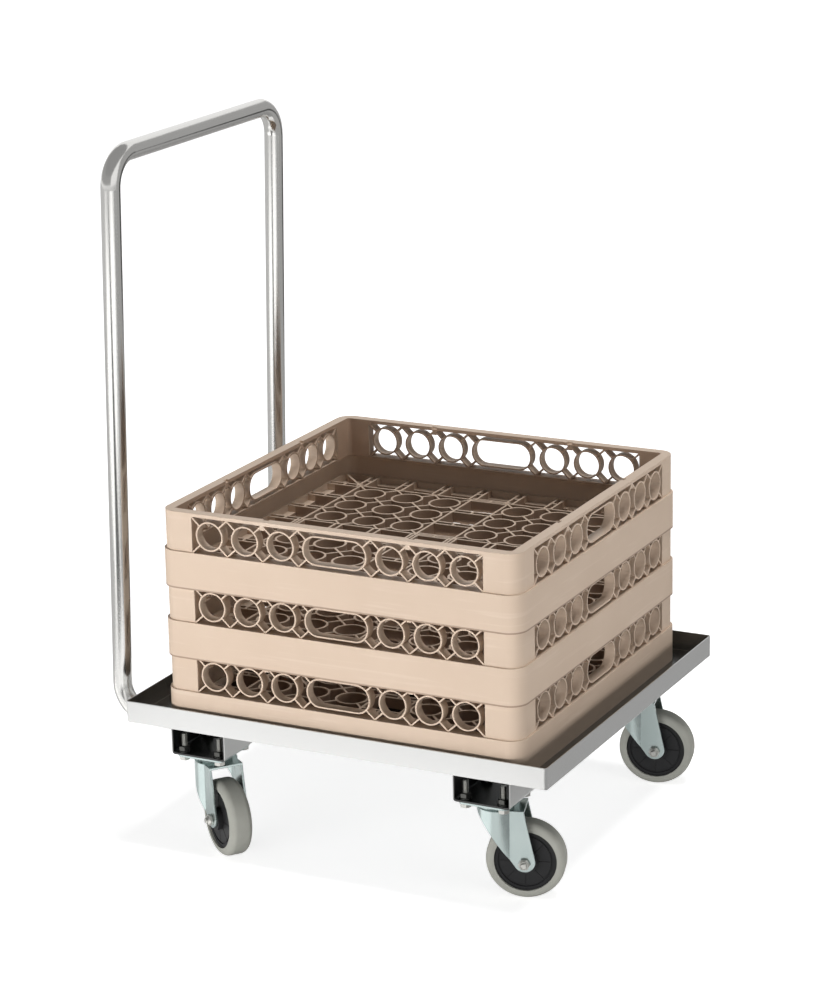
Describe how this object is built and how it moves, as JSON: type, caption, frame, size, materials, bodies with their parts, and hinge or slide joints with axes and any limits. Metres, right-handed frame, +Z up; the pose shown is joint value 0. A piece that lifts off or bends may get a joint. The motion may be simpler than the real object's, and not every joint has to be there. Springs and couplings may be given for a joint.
{
  "type": "glass rack dolly",
  "caption": "Flat steel tray with an upturned rim on swivel casters, with a tubular push bar at one end, carrying a stack of open plastic glass racks.",
  "frame": {"origin": "on the floor, under the middle of the object's length and width", "axes": "+X the way the dolly is pushed, away from the push bar; +Z up; +Y the pusher's left"},
  "size_m": [0.6432, 0.5458, 0.9048],
  "materials": {
    "satin_stainless": "satin, fine grain along the tube",
    "tray_stainless": "brushed",
    "bracket_steel": "satin",
    "zinc_plate": "bright zinc",
    "bolt_zinc": "bright zinc",
    "bearing_steel": "polished",
    "sleeve_steel": "turned",
    "hub_plastic": "satin moulded",
    "tyre_rubber": "matt",
    "rack_plastic": "satin moulded"
  },
  "bodies": {
    "chassis": {"tray": "tray_stainless", "push_bar": "satin_stainless", "bracket_front_right": "bracket_steel", "top_plate_front_right": "zinc_plate", "plate_bolts_front_right": "bolt_zinc", "plate_nuts_front_right": "bolt_zinc", "kingpin_front_right": "bolt_zinc", "bracket_front_left": "bracket_steel", "top_plate_front_left": "zinc_plate", "plate_bolts_front_left": "bolt_zinc", "plate_nuts_front_left": "bolt_zinc", "kingpin_front_left": "bolt_zinc", "bracket_rear_right": "bracket_steel", "top_plate_rear_right": "zinc_plate", "plate_bolts_rear_right": "bolt_zinc", "plate_nuts_rear_right": "bolt_zinc", "kingpin_rear_right": "bolt_zinc", "bracket_rear_left": "bracket_steel", "top_plate_rear_left": "zinc_plate", "plate_bolts_rear_left": "bolt_zinc", "plate_nuts_rear_left": "bolt_zinc", "kingpin_rear_left": "bolt_zinc"},
    "swivel_front_right": {"fork_front_right": "zinc_plate", "axle_bolt_front_right": "bolt_zinc", "axle_nut_front_right": "bolt_zinc", "axle_sleeve_front_right": "sleeve_steel", "swivel_balls_front_right": "bearing_steel"},
    "wheel_front_right": {"wheel_hub_front_right": "hub_plastic", "tyre_front_right": "tyre_rubber"},
    "swivel_front_left": {"fork_front_left": "zinc_plate", "axle_bolt_front_left": "bolt_zinc", "axle_nut_front_left": "bolt_zinc", "axle_sleeve_front_left": "sleeve_steel", "swivel_balls_front_left": "bearing_steel"},
    "wheel_front_left": {"wheel_hub_front_left": "hub_plastic", "tyre_front_left": "tyre_rubber"},
    "swivel_rear_right": {"fork_rear_right": "zinc_plate", "axle_bolt_rear_right": "bolt_zinc", "axle_nut_rear_right": "bolt_zinc", "axle_sleeve_rear_right": "sleeve_steel", "swivel_balls_rear_right": "bearing_steel"},
    "wheel_rear_right": {"wheel_hub_rear_right": "hub_plastic", "tyre_rear_right": "tyre_rubber"},
    "swivel_rear_left": {"fork_rear_left": "zinc_plate", "axle_bolt_rear_left": "bolt_zinc", "axle_nut_rear_left": "bolt_zinc", "axle_sleeve_rear_left": "sleeve_steel", "swivel_balls_rear_left": "bearing_steel"},
    "wheel_rear_left": {"wheel_hub_rear_left": "hub_plastic", "tyre_rear_left": "tyre_rubber"},
    "bottom_rack": {"bottom_rack_frame": "rack_plastic", "bottom_rack_grilles": "rack_plastic", "bottom_rack_hand_holds": "rack_plastic"},
    "middle_rack": {"middle_rack_frame": "rack_plastic", "middle_rack_grilles": "rack_plastic", "middle_rack_hand_holds": "rack_plastic"},
    "top_rack": {"top_rack_frame": "rack_plastic", "top_rack_grilles": "rack_plastic", "top_rack_hand_holds": "rack_plastic"}
  },
  "joints": [
    {"name": "swivel_front_right", "type": "hinge", "parent": "chassis", "child": "swivel_front_right", "pos_m": [0.22663, -0.211, 0.131], "axis": [0, 0, 1], "continuous": true},
    {"name": "roll_front_right", "type": "hinge", "parent": "swivel_front_right", "child": "wheel_front_right", "pos_m": [0.26285, -0.19951, 0.05], "axis": [-0.3024, 0.9532, 0], "continuous": true},
    {"name": "swivel_front_left", "type": "hinge", "parent": "chassis", "child": "swivel_front_left", "pos_m": [0.22663, 0.211, 0.131], "axis": [0, 0, 1], "continuous": true},
    {"name": "roll_front_left", "type": "hinge", "parent": "swivel_front_left", "child": "wheel_front_left", "pos_m": [0.26361, 0.21974, 0.05], "axis": [-0.23, 0.9732, 0], "continuous": true},
    {"name": "swivel_rear_right", "type": "hinge", "parent": "chassis", "child": "swivel_rear_right", "pos_m": [-0.17337, -0.211, 0.131], "axis": [0, 0, 1], "continuous": true},
    {"name": "roll_rear_right", "type": "hinge", "parent": "swivel_rear_right", "child": "wheel_rear_right", "pos_m": [-0.14311, -0.23397, 0.05], "axis": [0.6046, 0.7965, 0], "continuous": true},
    {"name": "swivel_rear_left", "type": "hinge", "parent": "chassis", "child": "swivel_rear_left", "pos_m": [-0.17337, 0.211, 0.131], "axis": [0, 0, 1], "continuous": true},
    {"name": "roll_rear_left", "type": "hinge", "parent": "swivel_rear_left", "child": "wheel_rear_left", "pos_m": [-0.14311, 0.23397, 0.05], "axis": [-0.6046, 0.7965, 0], "continuous": true},
    {"name": "lift_bottom_rack", "type": "slide", "parent": "chassis", "child": "bottom_rack", "axis": [0, 0, 1], "range_m": [0, 0.15]},
    {"name": "lift_middle_rack", "type": "slide", "parent": "bottom_rack", "child": "middle_rack", "axis": [0, 0, 1], "range_m": [0, 0.15]},
    {"name": "lift_top_rack", "type": "slide", "parent": "middle_rack", "child": "top_rack", "axis": [0, 0, 1], "range_m": [0, 0.15]}
  ]
}
